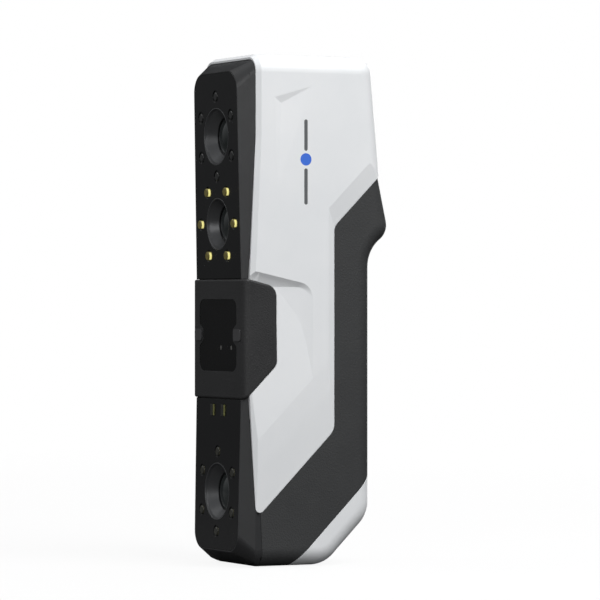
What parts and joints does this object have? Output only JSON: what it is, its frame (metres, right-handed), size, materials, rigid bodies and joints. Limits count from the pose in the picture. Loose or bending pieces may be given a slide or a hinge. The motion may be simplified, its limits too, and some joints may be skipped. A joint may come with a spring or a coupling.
{
  "type": "handheld 3d scanner",
  "caption": "Upright handheld 3-D scanner with a camera face in front, a rubber-clad handle behind, a control pad at the upper back and a cable socket in the slanted tail.",
  "frame": {"origin": "middle of the outer box on the base plane", "axes": "+Z along the body from the base to the top, -Y towards the cameras, +X to the right-hand side"},
  "size_m": [0.052, 0.072, 0.215],
  "materials": {
    "white_casing": "satin",
    "black_bezel": "satin",
    "gloss_panel": "gloss",
    "matte_cover": "matte",
    "grey_pad": "matte",
    "window_glass": "gloss",
    "grip_rubber": "matte",
    "light_guide": "gloss",
    "lens_metal": "satin",
    "lens_glass": "gloss",
    "green_board": "satin",
    "led_body": "gloss",
    "chip_plastic": "matte",
    "machined_aluminium": "satin",
    "flex_cable": "satin",
    "plated_metal": "satin",
    "gold_contacts": "polished",
    "seal_rubber": "matte",
    "screw_steel": "satin"
  },
  "bodies": {
    "scanner": {"board_chips": "chip_plastic", "board_connectors": "chip_plastic", "button_board": "green_board", "camera_flex_cables": "flex_cable", "camera_screws": "screw_steel", "casing_screws": "screw_steel", "chassis": "machined_aluminium", "chassis_screws": "screw_steel", "cover_pads": "grey_pad", "front_bezel": "black_bezel", "heat_spreader": "machined_aluminium", "infrared_projector_housing": "machined_aluminium", "infrared_projector_lenses": "lens_glass", "keypad_frame": "matte_cover", "laser_projector_housing": "machined_aluminium", "laser_projector_lens": "lens_glass", "left_side_shell": "white_casing", "lower_camera_board": "green_board", "lower_front_panel": "gloss_panel", "lower_led_board": "green_board", "lower_leds": "led_body", "lower_lens_barrel": "lens_metal", "lower_lens_glass": "lens_glass", "lower_lens_hood": "black_bezel", "main_board": "green_board", "marker_leds": "led_body", "middle_camera_board": "green_board", "middle_led_board": "green_board", "middle_leds": "led_body", "middle_lens_barrel": "lens_metal", "middle_lens_glass": "lens_glass", "middle_lens_hood": "black_bezel", "projector_cover": "matte_cover", "projector_heat_sink": "machined_aluminium", "projector_window": "window_glass", "right_side_shell": "white_casing", "rubber_grip": "grip_rubber", "socket_contacts": "gold_contacts", "socket_harness": "flex_cable", "socket_insulator": "chip_plastic", "socket_nut": "plated_metal", "socket_seal": "seal_rubber", "socket_shell": "plated_metal", "status_light_guide": "light_guide", "tact_switches": "chip_plastic", "tail_cap": "white_casing", "upper_camera_board": "green_board", "upper_front_panel": "gloss_panel", "upper_led_board": "green_board", "upper_leds": "led_body", "upper_lens_barrel": "lens_metal", "upper_lens_glass": "lens_glass", "upper_lens_hood": "black_bezel"},
    "scan_key": {"scan_button": "grip_rubber"},
    "plus_key": {"plus_button": "grip_rubber"},
    "minus_key": {"minus_button": "grip_rubber"},
    "mode_key": {"mode_button": "grip_rubber"}
  },
  "joints": [
    {"name": "scan_press", "type": "slide", "parent": "scanner", "child": "scan_key", "axis": [0, -0.9958, -0.0916], "range_m": [0, 0.0006], "stiffness_N_per_m": 1500},
    {"name": "plus_press", "type": "slide", "parent": "scanner", "child": "plus_key", "axis": [0, -0.9958, -0.0916], "range_m": [0, 0.0005], "stiffness_N_per_m": 1500},
    {"name": "minus_press", "type": "slide", "parent": "scanner", "child": "minus_key", "axis": [0, -0.9958, -0.0916], "range_m": [0, 0.0005], "stiffness_N_per_m": 1500},
    {"name": "mode_press", "type": "slide", "parent": "scanner", "child": "mode_key", "axis": [0, -0.9958, -0.0916], "range_m": [0, 0.0005], "stiffness_N_per_m": 1500}
  ]
}
